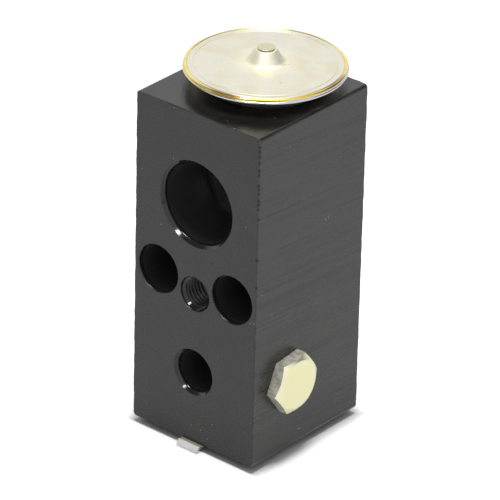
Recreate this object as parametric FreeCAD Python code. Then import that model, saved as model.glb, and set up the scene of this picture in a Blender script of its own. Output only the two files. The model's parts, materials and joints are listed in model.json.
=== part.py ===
"""Block-type thermal expansion valve for a vehicle air-conditioning circuit.

The valve is a length of extruded aluminium bar, drilled from all sides. Vapour on its way
back to the compressor crosses the top of the block and washes over a sensing rod. Liquid
comes in low on the front, passes a ball and its orifice, and leaves through the back. The
round power head on top moves the rod, the pin and the ball down against a spring.

Frame: +Z up, the hose face (front) towards -Y, the side plug towards +X. The origin is on
the valve's axis, which is also the head's and the adjusting plug's, at the plane that the
valve stands on. All lengths are in millimetres.
"""
import FreeCAD, Part
import math
import os

V = FreeCAD.Vector
UP, DOWN = V(0, 0, 1), V(0, 0, -1)
FRONT, REAR = V(0, -1, 0), V(0, 1, 0)
RIGHT, LEFT = V(1, 0, 0), V(-1, 0, 0)

# Clearances shared by every piece
thread_clearance = 0.05         # radial, a screw in its own tapped hole
sliding_clearance = 0.05        # radial, a rod or pin in its guide
seal_clearance = 0.03           # round a sealing ring in its recess
loose_clearance = 0.30          # a piece that only has to go in
shut_gap = 0.05                 # ball to seat, and stop plate to diaphragm, valve shut
valve_travel = 0.70             # from shut to fully open
overrun = 1.0                   # how far a cutter runs past the face that it opens
closing_tolerance = 1e-6        # ends of an outline closer than this are one point
section_flats = 8               # flats that stand for a round cord's section

# The two mounting screws, their holes and the stud's tapped hole
bolt_spacing = 21.6
bolt_hole_diameter = 6.6
screw_head_bore_diameter = 11.3
screw_head_bore_depth = 15.0
screw_bore_side_wall = 1.3
stud_diameter = 8.0
stud_hole_depth = 12.5
stud_tap_drill_diameter = 6.8
stud_below_bolts = 2.5
drill_point_angle = 118.0
small_chamfer = 0.3

# The bar
axis_to_front = 22.7
axis_to_rear = 14.1
bar_corner_radius = 0.8

# Ports: gland bores that take the O-ringed tube ends, and the passages behind them
suction_gland_diameter = 19.0
suction_front_gland_depth = 15.0
suction_rear_gland_depth = 9.0
suction_passage_diameter = 16.5
inlet_gland_diameter = 9.5
inlet_gland_depth = 9.2
inlet_passage_diameter = 7.4
outlet_gland_diameter = 12.7
outlet_gland_depth = 8.0
outlet_passage_diameter = 7.0
suction_chamfer = 1.0
inlet_chamfer = 0.95
outlet_chamfer = 0.9

# Valve: orifice, ball and the chambers above and below the seat
orifice_diameter = 4.0
orifice_length = 2.0
seat_mouth_diameter = 7.2
ball_diameter = 6.35
chamber_diameter = 11.0
chamber_roof_above_passage = 2.4
outlet_chamber_diameter = 6.8
outlet_passage_above_chamber_floor = 0.9
outlet_chamber_headroom = 0.2

# Heights up the block, each from the one before
inlet_above_bottom = 17.9
suction_above_outlet = 28.2
bolts_below_suction = 19.9
top_above_suction = 22.2

# Rod, pin and the seal round the rod
rod_diameter = 8.0
rod_guide_depth = 8.7           # from the suction passage's floor to the rod bore's floor
rod_chamfer = 0.5
pin_diameter = 2.4
pin_socket_depth = 3.0
rod_web_clearance = 0.7         # lets suction vapour through to the diaphragm
rod_seal_cord = 1.9
seal_recess_depth = 3.1
retainer_thickness = 0.5
retainer_tooth_count = 8
retainer_notch_width = 1.6
retainer_notch_depth = 0.9

# Cradle, damping spring and coil spring
cradle_diameter = 8.4
cradle_rim_below_centre = 1.4
cradle_floor_below_apex = 1.1
cradle_chamfer = 0.4
spigot_diameter = 5.0
spigot_length = 1.8
damping_sheet = 0.25
damping_finger_count = 3
damping_finger_width = 2.2
damping_finger_rise = 3.2
damping_finger_hook = 0.7
damping_first_angle = 90.0
spring_wire_diameter = 1.1
spring_mean_diameter = 7.1
spring_turns = 6.5

# Adjusting plug and the plate under it
plug_thread_diameter = 14.0
plug_thread_length = 5.0
plug_nose_diameter = 13.0
plug_nose_top = 12.2            # above the block's underside
plug_pocket_floor = 4.4         # above the block's underside
plug_pocket_diameter = 8.8
plug_groove_height = 8.2        # above the block's underside
plug_seal_cord = 1.3
plug_chamfer = 0.5
plug_flange_diameter = 19.0
plug_flange_thickness = 0.9
plug_socket_across_flats = 5.0
plug_socket_depth = 2.6
lock_plate_diameter = 22.0
lock_plate_thickness = 0.7
tongue_width = 6.0
tongue_reach = 1.9              # in front of the front face
tongue_bend_radius = 0.4        # inside the bend at its end
tongue_lip = 0.2                # straight end below the bend
lock_tab_width = 3.6

# Side plug
side_plug_behind_front = 11.8
side_plug_across_flats = 12.7
side_plug_head_height = 3.25
side_plug_thread_diameter = 10.0
side_plug_thread_length = 7.5
side_plug_hole_depth = 9.2
side_plug_vertex_angle = 6.0    # of one corner, up from the direction to the rear
side_port_diameter = 5.0
side_seal_cord = 1.25

# Power head
head_rim_height = 3.55          # the diaphragm's plane above the block's top
neck_diameter = 20.0
neck_length = 8.4
neck_bore_diameter = 14.4
neck_socket_depth = 9.0
neck_chamfer = 0.6
head_seal_cord = 1.4
cup_sheet = 0.8
cup_floor_height = 1.0          # above the block's top
cup_cavity_diameter = 31.2
cup_wall_run = 2.8              # how far the sloping wall comes in, from cavity to floor
cup_shoulder_width = 0.7        # flat underside, outside the floor's edge
rim_land = 1.4                  # clamped width, from the cavity to the shells' edges
diaphragm_sheet = 0.2
diaphragm_setback = 0.1         # of its edge, inside the shells' edges
corrugation_inset = 1.8         # of its middle, inside the cavity's edge
corrugation_width = 2.0
corrugation_depth = 0.45
lid_sheet = 0.7
lid_land = 0.9                  # flat edge of the lid, before it starts to rise
lid_crown = 0.65                # how far the lid rises from rim to middle
lid_step_diameter = 14.4
lid_step_height = 0.12
boss_foot_diameter = 8.8
boss_top_diameter = 5.3
boss_height = 2.95
boss_wall = 1.0                 # thickness of its flat top
boss_foot_fillet = 0.8
boss_crest_fillet = 0.35
bead_width = 1.4                # outside the shells' edges
bead_bite = 1.1                 # how far inside those edges its round section reaches
bead_rise = 0.08                # above the lid's edge and under the cup's
bead_flats = 10                 # flats across its round face
fill_hole_diameter = 2.2
charge_plug_diameter = 4.1
charge_plug_head_height = 0.35
charge_plug_chamfer = 0.1
stop_plate_side_gap = 0.8       # to the foot of the cup's sloping wall
stop_plate_thickness = 1.1
stop_hub_diameter = 11.6
stop_hub_depth = 3.2
rod_above_block = 1.6           # how far the rod's top end stands above the block

# Places that follow from the sizes above
block_bottom = plug_flange_thickness + lock_plate_thickness
block_width = bolt_spacing + screw_head_bore_diameter + 2 * screw_bore_side_wall
half_width = block_width / 2
front_y = -axis_to_front
rear_y = axis_to_rear
bar_depth = rear_y - front_y
inlet_z = block_bottom + inlet_above_bottom
chamber_roof_z = inlet_z + inlet_passage_diameter / 2 + chamber_roof_above_passage
seat_z = chamber_roof_z + (seat_mouth_diameter - orifice_diameter) / 2
outlet_chamber_floor_z = seat_z + orifice_length
outlet_z = outlet_chamber_floor_z + outlet_passage_above_chamber_floor + outlet_passage_diameter / 2
outlet_chamber_roof_z = outlet_z + outlet_passage_diameter / 2 + outlet_chamber_headroom
suction_z = outlet_z + suction_above_outlet
suction_floor_z = suction_z - suction_gland_diameter / 2
rod_bore_floor_z = suction_floor_z - rod_guide_depth
seal_floor_z = suction_floor_z - seal_recess_depth
bolts_z = suction_z - bolts_below_suction
stud_z = bolts_z - stud_below_bolts
block_top = suction_z + top_above_suction
rim_z = block_top + head_rim_height
rod_top_z = block_top + rod_above_block
rod_bottom_z = rod_bore_floor_z + valve_travel + loose_clearance
seal_recess_diameter = rod_diameter + 2 * rod_seal_cord + 2 * seal_clearance
side_plug_y = front_y + side_plug_behind_front
cup_floor_diameter = cup_cavity_diameter - 2 * cup_wall_run
head_shoulder_diameter = cup_floor_diameter + 2 * cup_shoulder_width
stop_plate_diameter = cup_floor_diameter - 2 * stop_plate_side_gap
corrugation_diameter = cup_cavity_diameter - 2 * corrugation_inset
head_diameter = cup_cavity_diameter + 2 * (rim_land + bead_width)


def closed_outline(points):
    """A closed wire through points. A point given as a pair of points is an arc: the first
    is on the way, the second is where the arc ends."""
    edges = []
    last = points[0]
    for step in points[1:]:
        if isinstance(step, tuple):
            middle, end = step
            edges.append(Part.Arc(last, middle, end).toShape())
        else:
            end = step
            edges.append(Part.LineSegment(last, end).toShape())
        last = end
    if not last.isEqual(points[0], closing_tolerance):
        edges.append(Part.LineSegment(last, points[0]).toShape())
    return Part.Wire(edges)


def rounded_corner(before, corner, after, radius):
    """The steps of a profile that round a corner: where the arc starts, then its middle and
    its end as a pair."""
    at = V(corner[0], corner[1], 0)
    to_before = (V(before[0], before[1], 0) - at).normalize()
    to_after = (V(after[0], after[1], 0) - at).normalize()
    half_angle = to_before.getAngle(to_after) / 2
    inward = (to_before + to_after).normalize()
    start = at + to_before * (radius / math.tan(half_angle))
    end = at + to_after * (radius / math.tan(half_angle))
    middle = at + inward * (radius / math.sin(half_angle) - radius)
    return [(start.x, start.y), ((middle.x, middle.y), (end.x, end.y))]


def turned(profile):
    """A solid of revolution about Z from (radius, height) points, arcs given as pairs."""
    def place(point):
        return V(point[0], 0, point[1])

    points = []
    for step in profile:
        if isinstance(step[0], tuple):
            points.append((place(step[0]), place(step[1])))
        else:
            points.append(place(step))
    face = Part.Face(closed_outline(points))
    return face.revolve(V(0, 0, 0), UP, 360)


def rod(diameter, length, start, direction):
    """A plain cylinder from start along direction."""
    return Part.makeCylinder(diameter / 2, length, start, direction)


def chamfered_bore(diameter, depth, chamfer, mouth, inward):
    """The cutter for a bore with a 45 degree chamfer at its mouth."""
    bore = rod(diameter, depth, mouth, inward)
    lip = Part.makeCone(diameter / 2 + chamfer, diameter / 2, chamfer, mouth, inward)
    relief = rod(diameter + 2 * chamfer, overrun, mouth - inward * overrun, inward)
    return bore.fuse([lip, relief])


def section_points(centre_radius, radius):
    """Points of a round section drawn with few flats, which keeps hidden rings light."""
    points = []
    for index in range(section_flats):
        angle = 2 * math.pi * index / section_flats
        points.append((centre_radius + radius * math.cos(angle), radius * math.sin(angle)))
    return points


def sealing_ring(inside_diameter, cord, centre, direction):
    """An O-ring whose inside, outside and both sides have the seal clearance."""
    ring_radius = (inside_diameter + cord) / 2
    ring = turned(section_points(ring_radius, cord / 2 - seal_clearance))
    ring.Placement = FreeCAD.Placement(centre, FreeCAD.Rotation(UP, direction))
    return ring


def hexagon(across_flats, height, start, direction, vertex_direction):
    """A hexagonal prism with one corner towards vertex_direction."""
    radius = across_flats / math.sqrt(3)
    side_direction = direction.cross(vertex_direction)
    corners = []
    for index in range(6):
        angle = math.radians(60 * index)
        corners.append(start + vertex_direction * (radius * math.cos(angle))
                       + side_direction * (radius * math.sin(angle)))
    return Part.Face(closed_outline(corners)).extrude(direction * height)


def around_axis(shape, count, first_angle=0.0):
    """Copies of shape, spaced evenly about the valve's axis."""
    copies = []
    for index in range(count):
        turned_copy = shape.copy()
        turned_copy.rotate(V(0, 0, 0), UP, first_angle + 360.0 * index / count)
        copies.append(turned_copy)
    return copies


# The block
def make_bar():
    """The extruded bar: its four long edges run front to rear and are rounded by the die,
    and its front and rear faces are sawn, so their edges are sharp."""
    left, right = -half_width, half_width
    low, high = block_bottom, block_top
    r = bar_corner_radius
    bulge = r * (1 - math.sqrt(0.5))

    def at(x, z):
        return V(x, front_y, z)

    outline = closed_outline([
        at(left + r, low),
        at(right - r, low),
        (at(right - bulge, low + bulge), at(right, low + r)),
        at(right, high - r),
        (at(right - bulge, high - bulge), at(right - r, high)),
        at(left + r, high),
        (at(left + bulge, high - bulge), at(left, high - r)),
        at(left, low + r),
        (at(left + bulge, low + bulge), at(left + r, low)),
    ])
    return Part.Face(outline).extrude(REAR * bar_depth)


def port_cutters():
    """Suction through the top, liquid in low on the front, liquid out at the rear."""
    front = V(0, front_y, suction_z)
    rear = V(0, rear_y, suction_z)
    inlet = V(0, front_y, inlet_z)
    outlet = V(0, rear_y, outlet_z)
    return [
        chamfered_bore(suction_gland_diameter, suction_front_gland_depth, suction_chamfer, front, REAR),
        chamfered_bore(suction_gland_diameter, suction_rear_gland_depth, suction_chamfer, rear, FRONT),
        rod(suction_passage_diameter, bar_depth, front, REAR),
        chamfered_bore(inlet_gland_diameter, inlet_gland_depth, inlet_chamfer, inlet, REAR),
        rod(inlet_passage_diameter, axis_to_front, inlet, REAR),
        chamfered_bore(outlet_gland_diameter, outlet_gland_depth, outlet_chamfer, outlet, FRONT),
        rod(outlet_passage_diameter, axis_to_rear, outlet, FRONT),
    ]


def axis_cutters():
    """Everything bored along the valve's axis, from the top and from underneath."""
    def level(z):
        return V(0, 0, z)

    def bore(diameter, bottom, top):
        return rod(diameter, top - bottom, level(bottom), UP)

    thread_depth = plug_thread_length + small_chamfer
    nose_bore_diameter = plug_nose_diameter
    nose_bore_top = block_bottom + plug_nose_top + loose_clearance
    guide_diameter = pin_diameter + 2 * sliding_clearance
    rod_bore_diameter = rod_diameter + 2 * sliding_clearance
    web_hole_diameter = rod_diameter + 2 * rod_web_clearance
    head_recess_diameter = neck_diameter + 2 * head_seal_cord
    seat_cone = Part.makeCone(seat_mouth_diameter / 2, orifice_diameter / 2,
                              seat_z - chamber_roof_z, level(chamber_roof_z), UP)
    return [
        chamfered_bore(plug_thread_diameter, thread_depth, small_chamfer, level(block_bottom), UP),
        bore(nose_bore_diameter, block_bottom, nose_bore_top),
        bore(chamber_diameter, block_bottom, chamber_roof_z),
        seat_cone,
        bore(orifice_diameter, seat_z, outlet_chamber_floor_z),
        bore(outlet_chamber_diameter, outlet_chamber_floor_z, outlet_chamber_roof_z),
        bore(guide_diameter, outlet_chamber_roof_z, rod_bore_floor_z),
        bore(rod_bore_diameter, rod_bore_floor_z, suction_z),
        bore(seal_recess_diameter, seal_floor_z, suction_z),
        bore(web_hole_diameter, suction_z, block_top),
        bore(neck_diameter, block_top - neck_socket_depth, block_top + overrun),
        bore(head_recess_diameter, block_top - head_seal_cord, block_top + overrun),
    ]


def fastener_cutters():
    """Two counterbored screw holes, the stud's blind hole and the side plug's port."""
    cutters = []
    for side in (-1, 1):
        mouth = V(side * bolt_spacing / 2, front_y, bolts_z)
        exit_mouth = V(side * bolt_spacing / 2, rear_y, bolts_z)
        cutters.append(chamfered_bore(screw_head_bore_diameter, screw_head_bore_depth,
                                      small_chamfer, mouth, REAR))
        cutters.append(chamfered_bore(bolt_hole_diameter, bar_depth, small_chamfer, exit_mouth, FRONT))
    stud_mouth = V(0, front_y, stud_z)
    stud_floor = V(0, front_y + stud_hole_depth, stud_z)
    point_length = stud_tap_drill_diameter / 2 / math.tan(math.radians(drill_point_angle / 2))
    cutters.append(chamfered_bore(stud_diameter, stud_hole_depth, small_chamfer, stud_mouth, REAR))
    cutters.append(Part.makeCone(stud_tap_drill_diameter / 2, 0, point_length, stud_floor, REAR))
    side_mouth = V(half_width, side_plug_y, inlet_z)
    side_recess_diameter = side_plug_thread_diameter + side_seal_cord
    cutters.append(rod(side_plug_thread_diameter, side_plug_hole_depth, side_mouth, LEFT))
    cutters.append(rod(side_recess_diameter, side_seal_cord + overrun,
                       side_mouth + RIGHT * overrun, LEFT))
    cutters.append(rod(side_port_diameter, half_width, side_mouth, LEFT))
    return cutters


def make_body_block():
    return make_bar().cut(port_cutters() + axis_cutters() + fastener_cutters())


# Valve train, from the ball down
ball_radius = ball_diameter / 2
ball_z = seat_z + orifice_diameter / 2 - math.sqrt(2) * (ball_radius + shut_gap)
cradle_apex_z = ball_z - math.sqrt(2) * (ball_radius + seal_clearance)
cradle_rim_z = ball_z - cradle_rim_below_centre
cradle_floor_z = cradle_apex_z - cradle_floor_below_apex
spring_bottom_z = block_bottom + plug_pocket_floor
spring_top_z = cradle_floor_z - damping_sheet


def make_valve_ball():
    return Part.makeSphere(ball_radius, V(0, 0, ball_z))


def make_ball_cradle():
    """A turned cup whose cone holds the ball, with a spigot that centres the spring."""
    radius = cradle_diameter / 2
    spigot_radius = spigot_diameter / 2
    spigot_end_z = cradle_floor_z - spigot_length
    cone_radius = cradle_rim_z - cradle_apex_z
    return turned([
        (0, spigot_end_z),
        (spigot_radius - cradle_chamfer, spigot_end_z),
        (spigot_radius, spigot_end_z + cradle_chamfer),
        (spigot_radius, cradle_floor_z),
        (radius - cradle_chamfer, cradle_floor_z),
        (radius, cradle_floor_z + cradle_chamfer),
        (radius, cradle_rim_z),
        (cone_radius, cradle_rim_z),
        (0, cradle_apex_z),
    ])


def make_damping_spring():
    """A stamped ring under the cradle with three fingers that rub on the chamber's wall."""
    ring_radius = cradle_diameter / 2 + damping_sheet
    hole_radius = spigot_diameter / 2 + seal_clearance
    wall_radius = chamber_diameter / 2 - 2 * sliding_clearance
    low, high = spring_top_z, cradle_floor_z
    shoulder = high + damping_finger_rise - damping_finger_hook
    tip = high + damping_finger_rise
    ring = turned([(hole_radius, low), (ring_radius, low), (ring_radius, high), (hole_radius, high)])
    side = closed_outline([
        V(ring_radius - damping_sheet / 2, -damping_finger_width / 2, low),
        V(ring_radius + damping_sheet, -damping_finger_width / 2, low),
        V(wall_radius, -damping_finger_width / 2, shoulder),
        V(wall_radius - damping_sheet, -damping_finger_width / 2, tip),
        V(wall_radius - 2 * damping_sheet, -damping_finger_width / 2, tip),
        V(wall_radius - damping_sheet, -damping_finger_width / 2, shoulder),
        V(ring_radius + damping_sheet / 4, -damping_finger_width / 2, high),
        V(ring_radius - damping_sheet / 2, -damping_finger_width / 2, high),
    ])
    finger = Part.Face(side).extrude(REAR * damping_finger_width)
    fingers = around_axis(finger, damping_finger_count, damping_first_angle)
    return ring.fuse(fingers).removeSplitter()


def make_valve_spring():
    """A compression spring with both ends ground flat, seated in the plug and on the cradle."""
    length = spring_top_z - spring_bottom_z
    pitch = (length + spring_wire_diameter) / spring_turns
    radius = spring_mean_diameter / 2
    helix = Part.makeHelix(pitch, length + spring_wire_diameter, radius)
    wire_section = [V(r, 0, z) for r, z in section_points(radius, spring_wire_diameter / 2)]
    coil = Part.Wire(helix.Edges).makePipeShell([closed_outline(wire_section)], True, True)
    coil.translate(V(0, 0, spring_bottom_z - spring_wire_diameter / 2))
    between_ends = rod(2 * spring_mean_diameter, length, V(0, 0, spring_bottom_z), UP)
    return coil.common(between_ends)


def make_push_pin():
    bottom_z = ball_z + ball_radius
    top_z = rod_bottom_z + pin_socket_depth
    return rod(pin_diameter, top_z - bottom_z, V(0, 0, bottom_z), UP)


def make_sensing_rod():
    """The rod that feels the vapour's temperature and carries the head's push."""
    radius = rod_diameter / 2
    body = turned([
        (0, rod_bottom_z),
        (radius - rod_chamfer, rod_bottom_z),
        (radius, rod_bottom_z + rod_chamfer),
        (radius, rod_top_z - rod_chamfer),
        (radius - rod_chamfer, rod_top_z),
        (0, rod_top_z),
    ])
    return body.cut(rod(pin_diameter, pin_socket_depth, V(0, 0, rod_bottom_z), UP))


def make_stop_plate():
    """The disc that the diaphragm presses on, with a hub that takes the rod's top end."""
    radius = stop_plate_diameter / 2
    hub_radius = stop_hub_diameter / 2
    top_z = rim_z - diaphragm_sheet / 2 - shut_gap
    under_z = top_z - stop_plate_thickness
    hub_end_z = under_z - stop_hub_depth
    socket_radius = rod_diameter / 2
    return turned([
        (0, rod_top_z),
        (socket_radius, rod_top_z),
        (socket_radius, hub_end_z),
        (hub_radius, hub_end_z),
        (hub_radius, under_z),
        (radius - small_chamfer, under_z),
        (radius, under_z + small_chamfer),
        (radius, top_z),
        (0, top_z),
    ])


# Seals
def make_rod_o_ring():
    centre = V(0, 0, seal_floor_z + rod_seal_cord / 2)
    return sealing_ring(rod_diameter + 2 * seal_clearance, rod_seal_cord, centre, UP)


def make_seal_retainer():
    """A star ring pressed into the recess over the rod's seal: its teeth grip the wall."""
    low = seal_floor_z + rod_seal_cord
    high = low + retainer_thickness
    inner_radius = rod_diameter / 2 + loose_clearance
    outer_radius = seal_recess_diameter / 2
    ring = turned([(inner_radius, low), (outer_radius, low), (outer_radius, high), (inner_radius, high)])
    notch = Part.makeBox(retainer_notch_depth + overrun, retainer_notch_width, retainer_thickness)
    notch.translate(V(outer_radius - retainer_notch_depth, -retainer_notch_width / 2, low))
    return ring.cut(around_axis(notch, retainer_tooth_count))


def make_adjusting_plug_o_ring():
    centre = V(0, 0, block_bottom + plug_groove_height + plug_seal_cord / 2)
    inside = plug_nose_diameter - 2 * plug_seal_cord
    return sealing_ring(inside, plug_seal_cord, centre, UP)


def make_side_plug_o_ring():
    centre = V(half_width - side_seal_cord / 2, side_plug_y, inlet_z)
    inside = side_plug_thread_diameter - side_seal_cord
    return sealing_ring(inside, side_seal_cord, centre, RIGHT)


def make_head_o_ring():
    centre = V(0, 0, block_top - head_seal_cord / 2)
    return sealing_ring(neck_diameter, head_seal_cord, centre, UP)


# Underneath: the adjusting plug and its lock plate
def make_adjusting_plug():
    """A screwed plug: flange, thread, grooved nose, spring pocket and key socket. The flange
    has a notch that the lock plate's tab drops into."""
    flange_radius = plug_flange_diameter / 2
    thread_radius = plug_thread_diameter / 2 - thread_clearance
    nose_radius = plug_nose_diameter / 2 - sliding_clearance
    groove_radius = plug_nose_diameter / 2 - plug_seal_cord - sliding_clearance
    pocket_radius = plug_pocket_diameter / 2
    thread_top = block_bottom + plug_thread_length
    nose_top = block_bottom + plug_nose_top
    groove_low = block_bottom + plug_groove_height - seal_clearance
    groove_high = block_bottom + plug_groove_height + plug_seal_cord + seal_clearance
    body = turned([
        (0, 0),
        (flange_radius, 0),
        (flange_radius, plug_flange_thickness),
        (thread_radius, plug_flange_thickness),
        (thread_radius, thread_top),
        (nose_radius, thread_top),
        (nose_radius, groove_low),
        (groove_radius, groove_low),
        (groove_radius, groove_high),
        (nose_radius, groove_high),
        (nose_radius, nose_top - plug_chamfer),
        (nose_radius - plug_chamfer, nose_top),
        (pocket_radius, nose_top),
        (pocket_radius, spring_bottom_z),
        (0, spring_bottom_z),
    ])
    socket = hexagon(plug_socket_across_flats, plug_socket_depth, V(0, 0, 0), UP, RIGHT)
    notch_width = lock_tab_width + 2 * thread_clearance
    notch = Part.makeBox(notch_width, lock_plate_thickness + 2 * thread_clearance, plug_flange_thickness)
    notch.translate(V(-notch_width / 2, lock_tab_y - thread_clearance, 0))
    return body.cut([socket, notch])


lock_tab_y = plug_flange_diameter / 2 - lock_plate_thickness


def make_lock_plate():
    """A stamped plate clamped under the block by the plug's flange. Its tongue reaches out
    under the front face, where its end is bent down, and a small tab at the rear is bent down
    into the flange's notch."""
    low, high = plug_flange_thickness, block_bottom
    left = -tongue_width / 2
    front_end = front_y - tongue_reach
    inner_radius = tongue_bend_radius
    outer_radius = tongue_bend_radius + lock_plate_thickness
    bend_y, bend_z = front_end + outer_radius, high - outer_radius
    lip_z = bend_z - tongue_lip

    def on_bend(radius):
        return V(left, bend_y - radius * math.sqrt(0.5), bend_z + radius * math.sqrt(0.5))

    tongue_side = closed_outline([
        V(left, 0, high),
        V(left, bend_y, high),
        (on_bend(outer_radius), V(left, front_end, bend_z)),
        V(left, front_end, lip_z),
        V(left, front_end + lock_plate_thickness, lip_z),
        V(left, front_end + lock_plate_thickness, bend_z),
        (on_bend(inner_radius), V(left, bend_y, low)),
        V(left, 0, low),
    ])
    tongue = Part.Face(tongue_side).extrude(RIGHT * tongue_width)
    disc = rod(lock_plate_diameter, lock_plate_thickness, V(0, 0, low), UP)
    tab_height = lock_plate_thickness + plug_flange_thickness / 2
    tab = Part.makeBox(lock_tab_width, lock_plate_thickness, tab_height)
    tab.translate(V(-lock_tab_width / 2, lock_tab_y, plug_flange_thickness / 2))
    hole = rod(plug_thread_diameter + loose_clearance, lock_plate_thickness, V(0, 0, low), UP)
    return disc.fuse([tongue, tab]).cut(hole).removeSplitter()


# Side plug
def make_side_plug():
    """A hex plug with a recess behind its head for the O-ring. The head's corners are cut
    back by a 30 degree chamfer that leaves a round face."""
    face = V(half_width, side_plug_y, inlet_z)
    thread_radius = side_plug_thread_diameter / 2 - thread_clearance
    neck_radius = (side_plug_thread_diameter - side_seal_cord) / 2 - seal_clearance
    vertex = V(0, math.cos(math.radians(side_plug_vertex_angle)),
               math.sin(math.radians(side_plug_vertex_angle)))
    head = hexagon(side_plug_across_flats, side_plug_head_height, face, RIGHT, vertex)
    flat_radius = side_plug_across_flats / 2
    corner_radius = side_plug_across_flats / math.sqrt(3)
    slope_rise = (corner_radius - flat_radius) * math.tan(math.radians(30))
    rounding = turned([
        (0, 0),
        (corner_radius, 0),
        (corner_radius, side_plug_head_height - slope_rise),
        (flat_radius, side_plug_head_height),
        (0, side_plug_head_height),
    ])
    rounding.rotate(V(0, 0, 0), REAR, 90)
    rounding.translate(face)
    shank = turned([
        (0, -side_plug_thread_length),
        (thread_radius - plug_chamfer, -side_plug_thread_length),
        (thread_radius, -side_plug_thread_length + plug_chamfer),
        (thread_radius, -side_seal_cord),
        (neck_radius, -side_seal_cord),
        (neck_radius, 0),
        (0, 0),
    ])
    shank.rotate(V(0, 0, 0), REAR, 90)
    shank.translate(face)
    return head.common(rounding).fuse(shank).removeSplitter()


# Power head
shell_radius = head_diameter / 2 - bead_width
cup_rim_top_z = rim_z - diaphragm_sheet / 2
cup_rim_under_z = cup_rim_top_z - cup_sheet
lid_rim_under_z = rim_z + diaphragm_sheet / 2
lid_rim_top_z = lid_rim_under_z + lid_sheet
lid_step_z = lid_rim_top_z + lid_crown - lid_step_height
boss_foot_z = lid_rim_top_z + lid_crown
boss_top_z = boss_foot_z + boss_height
boss_hollow_top_z = boss_top_z - boss_wall


def make_head_cup():
    """The lower shell: rim, sloping wall, flat floor and the threaded neck under it."""
    cavity_radius = cup_cavity_diameter / 2
    floor_radius = cup_floor_diameter / 2
    shoulder_radius = head_shoulder_diameter / 2
    bore_radius = neck_bore_diameter / 2
    neck_radius = neck_diameter / 2 - thread_clearance
    floor_z = block_top + cup_floor_height
    neck_end_z = block_top - neck_length
    return turned([
        (bore_radius, neck_end_z),
        (neck_radius - neck_chamfer, neck_end_z),
        (neck_radius, neck_end_z + neck_chamfer),
        (neck_radius, block_top),
        (shoulder_radius, block_top),
        (shoulder_radius + cup_sheet / 2, block_top + cup_sheet / 2),
        (cavity_radius + cup_sheet, cup_rim_under_z),
        (shell_radius, cup_rim_under_z),
        (shell_radius, cup_rim_top_z),
        (cavity_radius, cup_rim_top_z),
        (floor_radius, floor_z),
        (bore_radius, floor_z),
    ])


def make_diaphragm():
    """A thin stainless sheet, clamped at its rim, with one corrugation round the stop plate."""
    middle = corrugation_diameter / 2
    inner, outer = middle - corrugation_width / 2, middle + corrugation_width / 2
    floor_inner, floor_outer = middle - corrugation_width / 6, middle + corrugation_width / 6
    low, high = rim_z - diaphragm_sheet / 2, rim_z + diaphragm_sheet / 2
    edge_radius = shell_radius - diaphragm_setback
    return turned([
        (0, low),
        (inner, low),
        (floor_inner, low - corrugation_depth),
        (floor_outer, low - corrugation_depth),
        (outer, low),
        (edge_radius, low),
        (edge_radius, high),
        (outer, high),
        (floor_outer, high - corrugation_depth),
        (floor_inner, high - corrugation_depth),
        (inner, high),
        (0, high),
    ])


def make_head_lid():
    """The upper shell: clamped land, a slow rise, a faint step and the hollow conical boss."""
    cavity_radius = cup_cavity_diameter / 2
    land_radius = shell_radius - lid_land
    step_radius = lid_step_diameter / 2
    plateau_radius = step_radius - lid_step_height
    foot_radius = boss_foot_diameter / 2
    top_radius = boss_top_diameter / 2
    hole_radius = fill_hole_diameter / 2
    plateau = (plateau_radius, boss_foot_z)
    foot = (foot_radius, boss_foot_z)
    crest = (top_radius, boss_top_z)
    hole = (hole_radius, boss_top_z)
    return turned([
        (shell_radius, lid_rim_under_z),
        (shell_radius, lid_rim_top_z),
        (land_radius, lid_rim_top_z),
        (step_radius, lid_step_z),
        plateau,
        *rounded_corner(plateau, foot, crest, boss_foot_fillet),
        *rounded_corner(foot, crest, hole, boss_crest_fillet),
        hole,
        (hole_radius, boss_hollow_top_z),
        (top_radius - boss_wall, boss_hollow_top_z),
        (foot_radius - lid_sheet, boss_foot_z - lid_sheet),
        (plateau_radius, boss_foot_z - lid_sheet),
        (step_radius, lid_step_z - lid_sheet),
        (cavity_radius, lid_rim_under_z),
    ])


def make_weld_bead():
    """The bead that seals both shells and the diaphragm. It is a round section laid over the
    edges of the stack, so it laps a little over the lid and under the cup."""
    stack_middle_z = (lid_rim_top_z + cup_rim_under_z) / 2
    stack_half = (lid_rim_top_z - cup_rim_under_z) / 2
    middle_radius = shell_radius + (bead_width - bead_bite) / 2
    half_width_of_bead = (bead_width + bead_bite) / 2
    half_height_of_bead = stack_half + bead_rise
    lap_angle = math.pi - math.asin(stack_half / half_height_of_bead)
    points = [(shell_radius, lid_rim_top_z)]
    for index in range(bead_flats + 1):
        angle = lap_angle * (1 - 2 * index / bead_flats)
        points.append((middle_radius + half_width_of_bead * math.cos(angle),
                       stack_middle_z + half_height_of_bead * math.sin(angle)))
    points.append((shell_radius, cup_rim_under_z))
    return turned(points)


def make_charge_plug():
    """A headed pin pressed into the filling hole and resting on the boss."""
    shank_radius = fill_hole_diameter / 2
    head_radius = charge_plug_diameter / 2
    head_top_z = boss_top_z + charge_plug_head_height
    return turned([
        (0, boss_hollow_top_z),
        (shank_radius, boss_hollow_top_z),
        (shank_radius, boss_top_z),
        (head_radius, boss_top_z),
        (head_radius, head_top_z - charge_plug_chamfer),
        (head_radius - charge_plug_chamfer, head_top_z),
        (0, head_top_z),
    ])


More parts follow.
